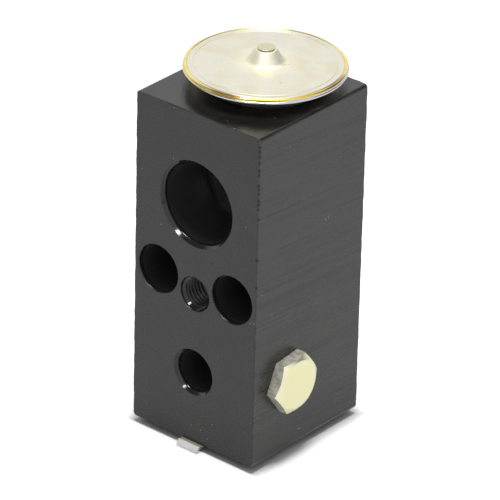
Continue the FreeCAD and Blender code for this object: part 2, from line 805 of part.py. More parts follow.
makers = {
    "body_block": make_body_block,
    "head_cup": make_head_cup,
    "head_lid": make_head_lid,
    "weld_bead": make_weld_bead,
    "diaphragm": make_diaphragm,
    "charge_plug": make_charge_plug,
    "head_o_ring": make_head_o_ring,
    "stop_plate": make_stop_plate,
    "sensing_rod": make_sensing_rod,
    "rod_o_ring": make_rod_o_ring,
    "seal_retainer": make_seal_retainer,
    "push_pin": make_push_pin,
    "valve_ball": make_valve_ball,
    "ball_cradle": make_ball_cradle,
    "damping_spring": make_damping_spring,
    "valve_spring": make_valve_spring,
    "adjusting_plug": make_adjusting_plug,
    "adjusting_plug_o_ring": make_adjusting_plug_o_ring,
    "lock_plate": make_lock_plate,
    "side_plug": make_side_plug,
    "side_plug_o_ring": make_side_plug_o_ring,
}

os.makedirs("parts", exist_ok=True)
for name, make in makers.items():
    shape = make()
    shape.exportStep("parts/" + name + ".step")
    box = shape.BoundBox
    print(f"{name}: {len(shape.Solids)} solid, valid {shape.isValid()}, volume {shape.Volume:.1f} mm3, "
          f"z {box.ZMin:.2f} to {box.ZMax:.2f}")
print(f"block {block_width:.1f} x {bar_depth:.1f} x {block_top - block_bottom:.1f} mm")
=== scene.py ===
# %% [markdown]
# # An expansion valve for an air-conditioning circuit
#
# A black anodised block with tube glands, a plated power head on top, a hex plug on its right
# side and a small metal tongue under the front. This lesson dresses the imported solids: each
# cell makes one piece or one finish, and says why it is made that way. All lengths are in
# metres, in the frame of the solids: +Z up, front towards -Y, side plug towards +X.

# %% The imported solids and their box
import bmesh
import bpy
import json
import math
from mathutils import Matrix, Vector, noise


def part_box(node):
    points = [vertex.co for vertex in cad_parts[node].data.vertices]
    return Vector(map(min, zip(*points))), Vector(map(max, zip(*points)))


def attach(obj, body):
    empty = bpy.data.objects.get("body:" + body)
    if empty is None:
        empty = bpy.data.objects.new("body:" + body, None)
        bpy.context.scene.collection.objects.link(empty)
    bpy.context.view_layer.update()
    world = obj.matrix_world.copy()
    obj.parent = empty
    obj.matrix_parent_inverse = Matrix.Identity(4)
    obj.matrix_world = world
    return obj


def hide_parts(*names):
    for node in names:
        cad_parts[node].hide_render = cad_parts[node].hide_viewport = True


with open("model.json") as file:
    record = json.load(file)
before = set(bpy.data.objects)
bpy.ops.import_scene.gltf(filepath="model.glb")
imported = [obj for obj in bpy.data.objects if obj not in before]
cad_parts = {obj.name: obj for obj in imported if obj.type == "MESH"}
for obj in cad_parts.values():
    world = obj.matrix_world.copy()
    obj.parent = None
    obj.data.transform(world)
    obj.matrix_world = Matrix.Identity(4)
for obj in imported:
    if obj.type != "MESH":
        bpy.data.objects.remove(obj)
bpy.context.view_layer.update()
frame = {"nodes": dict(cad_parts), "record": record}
nodes = frame["nodes"]
mm = 0.001
X, Y, Z = Vector((1, 0, 0)), Vector((0, 1, 0)), Vector((0, 0, 1))

# %% [markdown]
# ## Shader maths as plain expressions
#
# A finish is a tree of small nodes. Wiring them by hand hides the idea, so one class wraps an
# output socket. Adding or scaling two wrapped sockets adds the Math node for it, and `add`
# makes any other node from its type, its settings and the values or links of its sockets.


# %% A wrapped socket
class Signal:
    def __init__(self, tree, socket=None):
        self.tree = tree
        self.socket = socket

    def add(self, kind, settings=None, inputs=None, output=0):
        node = self.tree.nodes.new(kind)
        for key, value in (settings or {}).items():
            setattr(node, key, value)
        for key, value in (inputs or {}).items():
            if isinstance(value, Signal):
                self.tree.links.new(value.socket, node.inputs[key])
            else:
                node.inputs[key].default_value = value
        return Signal(self.tree, node.outputs[output])

    def math(self, operation, *others):
        inputs = dict(enumerate((self, *others)))
        return self.add("ShaderNodeMath", {"operation": operation}, inputs)

    def __add__(self, other):
        return self.math("ADD", other)

    def __sub__(self, other):
        return self.math("SUBTRACT", other)

    def __rsub__(self, other):
        return self.add("ShaderNodeMath", {"operation": "SUBTRACT"}, {0: other, 1: self})

    def __mul__(self, other):
        return self.math("MULTIPLY", other)

    def __truediv__(self, other):
        return self.math("DIVIDE", other)

    def __or__(self, other):
        """The larger of two masks, which covers what either covers."""
        return self.math("MAXIMUM", other)

    __radd__ = __add__
    __rmul__ = __mul__


# %% [markdown]
# ## Tools that every finish uses
#
# Each finish starts from the piece's own place in metres, so a scratch stays where it is when
# the camera moves. `ramp` turns a slow change into a soft mask between 0 and 1, `grain` is
# noise whose size is given as a real length along each axis, and `mixed` blends two colours.
# `mark` is one scratch or speck: an ellipsoid round a chosen place, 1 inside and 0 outside.
# A finish begins with plain values, which its grains then replace, and `done` gives it back.


# %% Starting a finish, and its common masks
class Finish:
    def __init__(self, name, metallic, roughness, ior=1.5):
        self.material = bpy.data.materials.new(name)
        self.material.use_nodes = True
        tree = self.material.node_tree
        self.shader = tree.nodes["Principled BSDF"]
        self.set("Metallic", metallic)
        self.set("Roughness", roughness)
        self.set("IOR", ior)
        self.signal = Signal(tree)
        self.place = self.signal.add("ShaderNodeTexCoord", output="Object")
        separate = self.signal.add("ShaderNodeSeparateXYZ", inputs={0: self.place}).socket.node
        self.x, self.y, self.z = (Signal(tree, separate.outputs[axis]) for axis in "XYZ")

    def set(self, socket, value):
        if isinstance(value, Signal):
            value.tree.links.new(value.socket, self.shader.inputs[socket])
        else:
            self.shader.inputs[socket].default_value = value

    def done(self):
        print(f"{self.material.name}: {len(self.material.node_tree.nodes)} shader nodes")
        return self.material

    def fitted(self, centre, turn, size):
        """The place seen from centre, turned by degrees and measured in units of size."""
        angles = [math.radians(angle) for angle in turn]
        inputs = {0: self.place, "Location": centre, "Rotation": angles, "Scale": size}
        return self.signal.add("ShaderNodeMapping", {"vector_type": "TEXTURE"}, inputs)

    def grain(self, size, detail=2.0, turn=(0, 0, 0), centre=(0, 0, 0)):
        """Noise from 0 to 1 whose grains measure size, given along x, y and z."""
        inputs = {"Vector": self.fitted(centre, turn, size), "Scale": 1.0, "Detail": detail}
        return self.signal.add("ShaderNodeTexNoise", None, inputs)

    def rings(self, radius, width, detail=3.0):
        """Noise that only changes with radius, as a turning tool leaves it."""
        inputs = {"W": radius / width, "Scale": 1.0, "Detail": detail}
        return self.signal.add("ShaderNodeTexNoise", {"noise_dimensions": "1D"}, inputs)

    def ramp(self, value, low, high):
        """0 at low, 1 at high, smooth between them. low may be the larger."""
        inputs = {"Value": value, "From Min": low, "From Max": high, "To Min": 0.0, "To Max": 1.0}
        return self.signal.add("ShaderNodeMapRange", {"interpolation_type": "SMOOTHSTEP"}, inputs)

    def mark(self, centre, turn, size):
        inputs = {0: self.fitted(centre, turn, size)}
        settings = {"operation": "LENGTH"}
        length = self.signal.add("ShaderNodeVectorMath", settings, inputs, output="Value")
        return self.ramp(length, 1.0, 0.35)

    def marks(self, rows):
        """Every row is the centre, the turn in degrees and the half lengths of one mark."""
        return sum_of([self.mark(*row) for row in rows])

    def mixed(self, first, second, factor):
        def colour(value):
            return value if isinstance(value, Signal) else (*value, 1.0)

        inputs = {0: factor, 6: colour(first), 7: colour(second)}
        return self.signal.add("ShaderNodeMix", {"data_type": "RGBA"}, inputs, output=2)

    def radius(self, first, second, centre=(0.0, 0.0)):
        """Distance from an axis, from the two coordinates square to it."""
        a, b = first - centre[0], second - centre[1]
        return (a * a + b * b).math("SQRT")

    def bumped(self, height, depth, normal=None):
        """Relief: height from 0 to 1 stands for depth in metres."""
        inputs = {"Height": height, "Distance": depth, "Strength": 1.0}
        if normal is not None:
            inputs["Normal"] = normal
        return self.signal.add("ShaderNodeBump", None, inputs)


def sum_of(masks):
    total = masks[0]
    for mask in masks[1:]:
        total = total + mask
    return total


# %% [markdown]
# ## Black anodised skin
#
# Anodising leaves the metal's surface as it was cut and only dyes it, so the black is dark but
# not matt: it mirrors a bright room softly. The long sides came out of a die, which drew bands
# and fine lines along the bar, a few degrees off square. The sawn faces only have an even
# grain. One finish holds both, told apart by how far a point is from the sawn planes. The top
# is calmer than the sides, so its lines fade out, and its dye is painted a little paler, as
# painted light that lifts the shade under the head. The grey is mostly what the surface
# mirrors, so the dye itself has to vary a lot to show at all. A thin pale line along the
# side's bottom edge is a painted highlight. The block's mesh carries an attribute which is 1
# in the nicks of the saw: there the metal is torn and rough, and its colour is painted dark
# as shade in the nick.

# %% Anodised outside skin
block_low, block_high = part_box("body_block")
front_y, rear_y = block_low.y, block_high.y
half_width = block_high.x
dye_dark = (0.002, 0.002, 0.002)
dye_pale = (0.036, 0.0355, 0.034)
# Pale for the specks, and for a painted highlight along the side's bottom edge.
pale_specks_and_highlight = (0.34, 0.34, 0.32)
die_slant = (-4.0, 0, 0)
band_size = (1.7 * mm, 90 * mm, 1.7 * mm)
line_size = (0.4 * mm, 45 * mm, 0.4 * mm)
sawn_tone = 0.42
edge_highlight_height = 0.7 * mm
speck = (0.17 * mm, 0.17 * mm, 0.17 * mm)
stroke = (0.3 * mm, 1.0 * mm, 0.09 * mm)
front_specks = [(-6.9, 83.3), (-6.8, 71.0), (-15.9, 65.2), (-10.1, 53.4), (5.8, 53.1), (16.3, 38.1),
                (17.3, 38.5), (-0.3, 5.7), (2.5, 5.5), (6.0, 8.3), (4.5, 4.0), (14.3, 61.4)]
side_specks = [(-12.5, 78.5), (-19.2, 22.8), (-20.7, 44.9), (-17.1, 38.3), (13.3, 57.0), (0.0, 2.5)]
top_specks = [(13.3, -12.5), (10.2, -22.3), (6.7, -20.6)]


def skin_marks(finish):
    """Specks on three faces, and two crossed strokes and a dash on the side."""
    rows = [((x * mm, front_y, z * mm), (0, 0, 0), speck) for x, z in front_specks]
    rows += [((half_width, y * mm, z * mm), (0, 0, 0), speck) for y, z in side_specks]
    rows += [((x * mm, y * mm, block_high.z), (0, 0, 0), speck) for x, y in top_specks]
    rows.append(((half_width, 0.6 * mm, 55.5 * mm), (-52, 0, 0), stroke))
    rows.append(((half_width, 1.7 * mm, 55.6 * mm), (62, 0, 0), stroke))
    rows.append(((half_width, -6.4 * mm, 4.9 * mm), (-12, 0, 0), stroke))
    return finish.marks(rows)


def make_anodised_skin():
    finish = Finish("black_anodised_skin", 0.0, 0.3, ior=1.56)
    from_front = finish.ramp(finish.y, front_y + 0.02 * mm, front_y + 0.12 * mm)
    from_rear = finish.ramp(finish.y, rear_y - 0.02 * mm, rear_y - 0.12 * mm)
    drawn = from_front * from_rear
    on_top = finish.ramp(finish.z, block_high.z - 0.3 * mm, block_high.z - 0.05 * mm)
    on_sides = drawn * (1 - on_top)
    bands = finish.grain(band_size, 3.0, die_slant)
    lines = finish.grain(line_size, 2.0, die_slant)
    dark_lines = finish.ramp(lines, 0.38, 0.28)
    fine = finish.grain((0.3 * mm,) * 3, 3.0)
    cloud = finish.grain((7 * mm,) * 3, 3.0)
    along = (0.9 * bands + 0.2 * lines - 0.6 * dark_lines) * (1 - 0.75 * on_top)
    # On top the dye is painted paler: painted light that lifts the shade under the head.
    tone = 0.35 * fine + 0.25 * cloud + drawn * along + (1 - drawn) * sawn_tone + on_top * 0.08
    base = finish.mixed(dye_dark, dye_pale, finish.ramp(tone, 0.3, 1.05))
    # A thin pale line along the side's bottom edge: a painted highlight of its rounded edge.
    from_edge_highlight = (finish.z - block_low.z - edge_highlight_height).math("ABSOLUTE")
    edge_highlight = finish.ramp(from_edge_highlight, 0.26 * mm, 0.12 * mm)
    edge_highlight = edge_highlight * finish.ramp(finish.x, half_width - 0.4 * mm, half_width)
    specks_and_highlight = skin_marks(finish) + 0.3 * edge_highlight * finish.ramp(cloud, 0.3, 0.5)
    base = finish.mixed(base, pale_specks_and_highlight, specks_and_highlight)
    # The nicks are painted dark: painted shade in the saw's tears. Their extra roughness is the torn
    # metal.
    nick_shade = finish.signal.add("ShaderNodeAttribute", {"attribute_name": "nick_shade"}, output="Fac")
    finish.set("Base Color", finish.mixed(base, dye_dark, nick_shade))
    finish.set("Roughness", 0.22 + 0.05 * lines * on_sides + 0.06 * cloud + 0.5 * nick_shade)
    relief = finish.bumped(lines * on_sides, 0.0018 * mm)
    finish.set("Normal", finish.bumped(fine, 0.002 * mm, relief))
    return finish.done()


anodised_skin = make_anodised_skin()

# %% [markdown]
# ## Machined bores
#
# The bores are turned before anodising, and the tool leaves rings square to the bore. The
# chamfer at the mouth is the smoothest and blackest, so it flashes where it meets the lamp.
# The wall behind it is rougher, and painted a little paler, as painted light from the mouth.

# %% Anodised bores
turning_pitch = 0.16 * mm
mouth_depth = 1.0 * mm
mouth_dark = (0.010, 0.010, 0.010)
mouth_pale = (0.028, 0.028, 0.027)
wall_painted_light = (0.055, 0.055, 0.054)


def make_anodised_bore():
    finish = Finish("black_anodised_bore", 0.0, 0.2)
    waver = finish.grain((3 * mm,) * 3, 2.0)
    turns = finish.y * (2 * math.pi / turning_pitch) + 3.0 * waver
    rings = 0.5 + 0.5 * turns.math("SINE")
    cloud = finish.grain((2.5 * mm,) * 3, 3.0)
    inside = finish.ramp(finish.y, front_y + mouth_depth, front_y + mouth_depth + 0.4 * mm)
    base = finish.mixed(mouth_dark, mouth_pale, cloud)
    # Deeper in, the wall is painted paler: painted light that reaches in from the mouth.
    finish.set("Base Color", finish.mixed(base, wall_painted_light, 0.5 * inside))
    finish.set("Roughness", 0.10 + 0.04 * cloud + 0.28 * inside)
    finish.set("Normal", finish.bumped(rings * cloud, 0.004 * mm))
    return finish.done()


anodised_bore = make_anodised_bore()

# %% [markdown]
# ## Plated sheet
#
# The shells of the head are pressed from sheet and zinc plated. The plating is a soft mirror
# with a warm, slightly green cast, cloudy where it was passivated. Handling leaves thin rings
# and smudges, and the sheet is duller round the boss, where the press stretched it. A patch
# of cloud changes colour and roughness together, so a stain also looks duller. The marks on
# the lid are few, so each is listed one by one.

# %% Plated shell
plated_pale = (0.80, 0.775, 0.655)
plated_warm = (0.78, 0.72, 0.55)
plated_cool = (0.72, 0.73, 0.73)
plated_dull = (0.30, 0.29, 0.24)
stretched_radii = (9.0 * mm, 4.6 * mm)
lid_marks = [
    ((4.5 * mm, 1.0 * mm, 89.3 * mm), (0, 0, 82), (1.3 * mm, 0.22 * mm, 1.0 * mm)),
    ((5.1 * mm, 1.9 * mm, 89.0 * mm), (0, 0, 70), (0.9 * mm, 0.14 * mm, 1.0 * mm)),
    ((-1.2 * mm, 16.3 * mm, 88.4 * mm), (0, 0, 20), (0.5 * mm, 0.2 * mm, 0.4 * mm)),
    ((-4.3 * mm, -10.8 * mm, 88.8 * mm), (0, 0, 0), (0.2 * mm, 0.2 * mm, 0.3 * mm)),
    ((1.2 * mm, -15.4 * mm, 88.5 * mm), (0, 0, 8), (1.9 * mm, 0.12 * mm, 0.3 * mm)),
    ((9.3 * mm, -5.9 * mm, 88.8 * mm), (0, 0, 40), (0.5 * mm, 0.25 * mm, 0.3 * mm)),
]


def make_plated_shell():
    finish = Finish("plated_shell", 1.0, 0.35)
    cloud = finish.grain((6 * mm,) * 3, 4.0)
    patch = finish.grain((2.2 * mm,) * 3, 4.0, centre=(40 * mm, 20 * mm, 0))
    fine = finish.grain((0.22 * mm,) * 3, 3.0)
    radius = finish.radius(finish.x, finish.y)
    ring_lines = finish.rings(radius, 0.4 * mm)
    base = finish.mixed(plated_pale, plated_warm, 0.9 * finish.ramp(cloud, 0.45, 0.65))
    base = finish.mixed(base, plated_cool, 0.8 * finish.ramp(patch, 0.52, 0.75))
    shade = 0.10 * finish.ramp(ring_lines, 0.6, 0.8) + 0.10 * finish.ramp(fine, 0.55, 0.8)
    shade = shade + 0.65 * finish.marks(lid_marks)
    finish.set("Base Color", finish.mixed(base, plated_dull, shade))
    stretched = finish.ramp(radius, *stretched_radii)
    finish.set("Roughness", 0.34 + 0.12 * patch + 0.06 * fine + 0.18 * stretched)
    relief = finish.bumped(ring_lines, 0.005 * mm)
    finish.set("Normal", finish.bumped(fine, 0.003 * mm, relief))
    return finish.done()


plated_shell = make_plated_shell()

# %% [markdown]
# ## Heat-tinted bead
#
# Welding the rim ran hot enough to colour it. Oxide tints follow the heat, so the roll on top
# is straw to gold with brown stretches, and the lip under it and the lap over the lid stay
# silver. The border between roll and lip is a height, browner just above it, which climbs
# from left to right.

# %% Bead finish
bead_low, bead_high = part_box("weld_bead")
tint_line = bead_high.z - 0.62 * mm
tint_climb = 0.02
tint_inner_radius = 17.34 * mm
straw = (0.88, 0.76, 0.36)
gold = (0.95, 0.70, 0.12)
brown = (0.34, 0.19, 0.05)
silver = (0.70, 0.71, 0.70)
brown_stretches = [((3.0 * mm, -17.7 * mm, 88 * mm), (0, 0, 10), (5.0 * mm, 1.6 * mm, 3 * mm)),
                   ((17.4 * mm, 3.4 * mm, 88 * mm), (0, 0, 11), (1.6 * mm, 6.0 * mm, 3 * mm))]
golden_stretches = [((12.0 * mm, -13.4 * mm, 88 * mm), (0, 0, 42), (6.5 * mm, 3.0 * mm, 3 * mm)),
                    ((17.3 * mm, -4.5 * mm, 88 * mm), (0, 0, 75), (6.0 * mm, 3.0 * mm, 3 * mm))]


def make_heat_tint():
    finish = Finish("heat_tinted_bead", 1.0, 0.25)
    cloud = finish.grain((4.5 * mm, 4.5 * mm, 1.5 * mm), 2.0)
    spots = finish.grain((1.6 * mm, 1.6 * mm, 0.25 * mm), 3.0, centre=(20 * mm, 0, 0))
    height = finish.z - tint_climb * (0.77 * finish.x + 0.64 * finish.y) + (spots - 0.5) * (0.12 * mm)
    hot = finish.ramp(height, tint_line - 0.03 * mm, tint_line + 0.06 * mm)
    radius = finish.radius(finish.x, finish.y)
    outside = finish.ramp(radius, tint_inner_radius, tint_inner_radius + 0.06 * mm)
    hot = hot * outside
    tint = finish.mixed(straw, gold, finish.ramp(cloud, 0.45, 0.7) | finish.marks(golden_stretches))
    tint = finish.mixed(tint, brown, finish.ramp(spots, 0.55, 0.75) * 0.35)
    tint = finish.mixed(tint, brown, finish.marks(brown_stretches) * 0.7)
    low_brown = finish.ramp(height, tint_line + 0.12 * mm, tint_line)
    tint = finish.mixed(tint, brown, low_brown * 0.6)
    finish.set("Base Color", finish.mixed(finish.mixed(plated_pale, silver, outside), tint, hot))
    finish.set("Roughness", 0.14 + 0.14 * spots + 0.14 * (1 - outside))
    finish.set("Normal", finish.bumped(finish.grain((0.5 * mm,) * 3, 2.0), 0.005 * mm))
    return finish.done()


heat_tint = make_heat_tint()

# %% [markdown]
# ## Zinc-plated steel
#
# The side plug, the charge pin and the plate with its tongue are turned or stamped and then
# plated. The plug's end face is the palest, with a faint yellow passivation, and its chamfer
# is painted whiter, as a painted highlight. Its flats are greyer, because bar stock keeps its
# drawn surface. How far a point is behind the chamfer's cone tells the flats from the rest.
# The other pieces are known by their height: the pin, high up, is tan, and the plate, low
# down, is mostly matt, with a tongue that is white at the end and painted dark tan next to
# the block, as painted shade and reflection from the block.

# %% Zinc plate
plug_low, plug_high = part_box("side_plug")
plug_y = (plug_low.y + plug_high.y) / 2
plug_z = (plug_low.z + plug_high.z) / 2
plug_face_radius = 5.8 * mm
chamfer_slope = math.tan(math.radians(30))
zinc_yellow = (0.93, 0.90, 0.53)
zinc_white = (0.92, 0.91, 0.78)
pin_tan = (0.66, 0.61, 0.40)
tongue_white = (0.96, 0.96, 0.92)
# Painted shade and reflection of the block on the tongue next to it.
tongue_painted_shade = (0.30, 0.27, 0.17)
plate_top = 2.0 * mm
pin_bottom = 85 * mm
zinc_grey = (0.42, 0.42, 0.36)
zinc_drawn = (0.68, 0.67, 0.56)


def make_zinc_plate():
    finish = Finish("zinc_plate", 1.0, 0.3)
    cloud = finish.grain((1.8 * mm,) * 3, 4.0)
    fine = finish.grain((0.14 * mm,) * 3, 3.0)
    drawn = finish.grain((3 * mm, 0.35 * mm, 0.35 * mm), 3.0)
    radius = finish.radius(finish.y, finish.z, (plug_y, plug_z))
    cone = finish.x + chamfer_slope * (radius - plug_face_radius).math("MAXIMUM", 0.0)
    flank = finish.ramp(cone, plug_high.x - 0.03 * mm, plug_high.x - 0.09 * mm)
    flank = flank * finish.ramp(finish.x, half_width - 0.6 * mm, half_width - 0.1 * mm)
    # From the face's edge outwards the chamfer is painted whiter: a painted highlight.
    rim = finish.ramp(radius, plug_face_radius - 0.1 * mm, plug_face_radius + 0.1 * mm)
    base = finish.mixed(zinc_yellow, zinc_white, 0.5 * finish.ramp(cloud, 0.4, 0.75) + 0.3 * rim)
    low_down = finish.ramp(finish.z, plate_top + 0.4 * mm, plate_top)
    # Next to the block the tongue is painted dark tan: painted shade and reflection from the block.
    block_shade_on_tongue = finish.ramp(finish.y, front_y - 1.0 * mm, front_y - 0.7 * mm)
    base = finish.mixed(base, tongue_white, low_down)
    base = finish.mixed(base, tongue_painted_shade, 0.8 * low_down * block_shade_on_tongue)
    tan = finish.mixed(pin_tan, zinc_white, 0.5 * finish.ramp(fine, 0.5, 0.8) + 0.2 * cloud)
    base = finish.mixed(base, tan, finish.ramp(finish.z, pin_bottom, pin_bottom + 1.0 * mm))
    dull = finish.mixed(zinc_grey, zinc_drawn, finish.ramp(0.5 * cloud + 0.5 * drawn, 0.42, 0.58))
    finish.set("Base Color", finish.mixed(base, dull, flank))
    finish.set("Metallic", 1.0 - 0.6 * flank - 0.9 * low_down)
    finish.set("Roughness", 0.26 + 0.1 * fine + 0.25 * flank)
    dents = finish.grain((1.4 * mm, 0.6 * mm, 0.5 * mm), 1.0) * low_down
    stamped = finish.bumped(dents, 0.08 * mm)
    finish.set("Normal", finish.bumped(0.6 * drawn * flank + 0.4 * fine, 0.006 * mm, stamped))
    return finish.done()


zinc_plate = make_zinc_plate()

# %% [markdown]
# ## Finishes of the pieces inside
#
# Stainless, bare aluminium and rubber are only seen through the bores, or when the valve is
# taken apart, but each still has its own grain: turning rings on the rod, a drawn grain on
# the steel, and a faint bloom on the rubber.


# %% Stainless, bare aluminium, rubber
def make_stainless():
    finish = Finish("bright_stainless", 1.0, 0.25)
    cloud = finish.grain((1.5 * mm,) * 3, 3.0)
    fine = finish.grain((0.1 * mm, 0.1 * mm, 1.2 * mm), 3.0)
    finish.set("Base Color", finish.mixed((0.60, 0.60, 0.59), (0.70, 0.69, 0.67), cloud))
    finish.set("Roughness", 0.2 + 0.15 * fine)
    finish.set("Normal", finish.bumped(fine, 0.003 * mm))
    return finish.done()


def make_bare_aluminium():
    finish = Finish("turned_aluminium", 1.0, 0.35)
    rings = 0.5 + 0.5 * (finish.z * (2 * math.pi / (0.2 * mm))).math("SINE")
    cloud = finish.grain((2 * mm,) * 3, 3.0)
    finish.set("Base Color", finish.mixed((0.74, 0.75, 0.76), (0.84, 0.84, 0.84), cloud))
    finish.set("Roughness", 0.28 + 0.14 * cloud)
    finish.set("Normal", finish.bumped(rings * cloud, 0.008 * mm))
    return finish.done()


def make_rubber():
    finish = Finish("seal_rubber", 0.0, 0.5)
    bloom = finish.grain((0.8 * mm,) * 3, 4.0)
    finish.set("Base Color", finish.mixed((0.012, 0.012, 0.012), (0.035, 0.035, 0.033), bloom))
    finish.set("Roughness", 0.42 + 0.2 * bloom)
    finish.set("Normal", finish.bumped(bloom, 0.01 * mm))
    return finish.done()


stainless, bare_aluminium, rubber = make_stainless(), make_bare_aluminium(), make_rubber()
finishes = {
    "black_anodised": anodised_skin,
    "plated_shell": plated_shell,
    "heat_tinted": heat_tint,
    "zinc_steel": zinc_plate,
    "stainless": stainless,
    "bare_aluminium": bare_aluminium,
    "seal_rubber": rubber,
}

# %% [markdown]
# ## Dressing the solids
#
# Every solid first gets its finish. The hidden ones then stay as they are: their shape is
# right. The ones that show are replaced, because their mesh is loose flat triangles.

# %% Finishes on the solids
slots = {row["node"]: row["material_slot"] for row in frame["record"]["subparts"]}
bodies = frame["record"]["behaviour"]["bodies"]
body_of = {name: body for body, names in bodies.items() for name in names}
for name, solid in nodes.items():
    solid.data.materials.clear()
    solid.data.materials.append(finishes[slots[name]])
print("dressed", len(nodes), "solids with", len(set(slots.values())), "finishes")

# %% [markdown]
# ## Handing a finished mesh to its body
#
# A finished piece sits at the origin with its place in its mesh. It rides on the body of the
# solid that it belongs to, takes that solid's slot, and is shaded smooth except at corners.
# `stand_for` also hides the solid. `soften` breaks sharp corners with a small bevel, which no
# real edge is without, and `level_normals` keeps large flat faces flat beside such a bevel.

# %% New pieces and their last touches
corner_angle = math.radians(28)


def new_piece(name, bm, solid, corner=corner_angle):
    mesh = bpy.data.meshes.new(name)
    bm.to_mesh(mesh)
    bm.free()
    mesh.polygons.foreach_set("use_smooth", [True] * len(mesh.polygons))
    mesh.set_sharp_from_angle(angle=corner)
    mesh.materials.append(finishes[slots[solid]])
    piece = bpy.data.objects.new(name, mesh)
    bpy.context.scene.collection.objects.link(piece)
    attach(piece, body_of[solid])
    print(f"{name}: {len(mesh.polygons)} faces")
    return piece


def stand_for(name, bm, solid, corner=corner_angle):
    piece = new_piece(name, bm, solid, corner)
    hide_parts(solid)
    return piece


def soften(piece, width, segments=2, angle=corner_angle):
    bevel = piece.modifiers.new("edge", "BEVEL")
    bevel.width = width
    bevel.segments = segments
    bevel.limit_method = "ANGLE"
    bevel.angle_limit = angle
    return level_normals(piece)


def level_normals(piece):
    level = piece.modifiers.new("flat_faces", "WEIGHTED_NORMAL")
    level.keep_sharp = True
    return piece


# %% [markdown]
# ## A smooth copy of a solid
#
# Where the solid's own form is what the eye should see, a copy is enough: its loose triangles
# are merged, and triangles that lie in one plane are dissolved into one face.

# %% Merged copies
merge_distance = 0.0005 * mm
flat_angle = math.radians(0.2)
foot_edge = 0.06 * mm
tongue_edge = 0.09 * mm


def merged_copy(name):
    bm = bmesh.new()
    bm.from_mesh(nodes[name].data)
    bmesh.ops.remove_doubles(bm, verts=bm.verts, dist=merge_distance)
    bmesh.ops.dissolve_limit(bm, angle_limit=flat_angle, verts=bm.verts, edges=bm.edges)
    return bm


stand_for("lower_shell", merged_copy("head_cup"), "head_cup")
stand_for("turned_rod", merged_copy("sensing_rod"), "sensing_rod")
soften(stand_for("foot_plug", merged_copy("adjusting_plug"), "adjusting_plug"), foot_edge)
soften(stand_for("tongue_plate", merged_copy("lock_plate"), "lock_plate"), tongue_edge, 3)

# %% [markdown]
# ## The block
#
# The block's copy keeps every bore. Its front and rear faces were cut with a saw, so their
# outline is not ruler straight: it wavers, and along the near corner the saw tore out small
# nicks. A bevel only runs clean where the edges that end at it meet it squarely, so a line
# first marks off a border strip on each face, and the slanting edges that cross the strip,
# which shading doesn't need, are dissolved. The outline is then divided into short lengths
# and bevelled. Last, each point slides back from the edge by smooth noise and by the nicks,
# and only within the face that it lies on, so that the faces stay flat.

# %% The block's outline
edge_break = 0.13 * mm
tooth_length = 0.3 * mm
bar_corner = 0.8 * mm
plane_tolerance = 0.001 * mm
outline_tolerance = 0.05 * mm
square_enough = 0.001
straight_enough = 0.9999
machined_depth = 0.9 * mm
border = 0.85 * mm


def off_outline(point):
    """How far a point is inside the bar's outline, and the way to its inside."""
    core = Vector((max(-half_width + bar_corner, min(half_width - bar_corner, point.x)), 0,
                   max(block_low.z + bar_corner, min(block_high.z - bar_corner, point.z))))
    inward = core - Vector((point.x, 0, point.z))
    return bar_corner - inward.length, inward.normalized()


def framed(bm):
    """Marks off a border strip on each flat face, and dissolves the slanting edges in it."""
    strips = [(X, half_width - border), (X, border - half_width), (Z, block_high.z - border),
              (Z, block_low.z + border), (Y, front_y + border), (Y, rear_y - border)]
    for way, at in strips:
        def is_cut(face):
            middle = face.calc_center_median()
            along_bar = abs(face.normal.y) < square_enough and off_outline(middle)[0] < 0.1 * mm
            sawn = min(abs(middle.y - y) for y in (front_y, rear_y)) < plane_tolerance
            return along_bar if way == Y else sawn

        faces = [face for face in bm.faces if is_cut(face)]
        edges = list({edge for face in faces for edge in face.edges})
        verts = list({vert for face in faces for vert in face.verts})
        bmesh.ops.bisect_plane(bm, geom=verts + edges + faces, dist=merge_distance,
                               plane_co=way * at, plane_no=way)
    slanted = [edge for edge in bm.edges if is_slanted(edge)]
    bmesh.ops.dissolve_edges(bm, edges=slanted, use_verts=False)
    print("slanting edges cleared:", len(slanted))


def is_slanted(edge):
    """An edge inside one plane that reaches the sawn outline but runs along no axis."""
    if len(edge.link_faces) != 2 or edge.calc_face_angle() > flat_angle:
        return False
    along = (edge.verts[1].co - edge.verts[0].co).normalized()
    if max(abs(v) for v in along) > straight_enough:
        return False
    return any(is_on_outline(vert.co, y) for vert in edge.verts for y in (front_y, rear_y))


def is_on_outline(point, y):
    return abs(point.y - y) < plane_tolerance and off_outline(point)[0] < outline_tolerance


def in_a_bore(face):
    middle = face.calc_center_median()
    inside_x = half_width - abs(middle.x)
    inside_z = min(middle.z - block_low.z, block_high.z - middle.z)
    inside_y = min(middle.y - front_y, rear_y - middle.y)
    return min(inside_x, inside_z) > machined_depth and inside_y > 0.1 * mm


def divide_outline(bm, y):
    """Divides the outline of the sawn face at y and gives its short edges."""
    def on_outline(edge):
        points = [vert.co for vert in edge.verts] + [sum((v.co for v in edge.verts), Vector()) / 2]
        return all(is_on_outline(point, y) for point in points)

    for edge in [edge for edge in bm.edges if on_outline(edge)]:
        cuts = int(edge.calc_length() / tooth_length)
        if cuts:
            bmesh.ops.subdivide_edges(bm, edges=[edge], cuts=cuts)
    return [edge for edge in bm.edges if on_outline(edge)]


# %% Waver and nicks
waver_depth = 0.16 * mm
nick_depth = 0.32 * mm
nick_reach = 0.42 * mm
corner_nicks = [83.6, 82.2, 81.0, 79.8, 78.3, 76.4, 75.4, 72.8, 71.8, 70.8, 69.1, 68.1, 66.9, 64.5,
                54.4, 47.5]


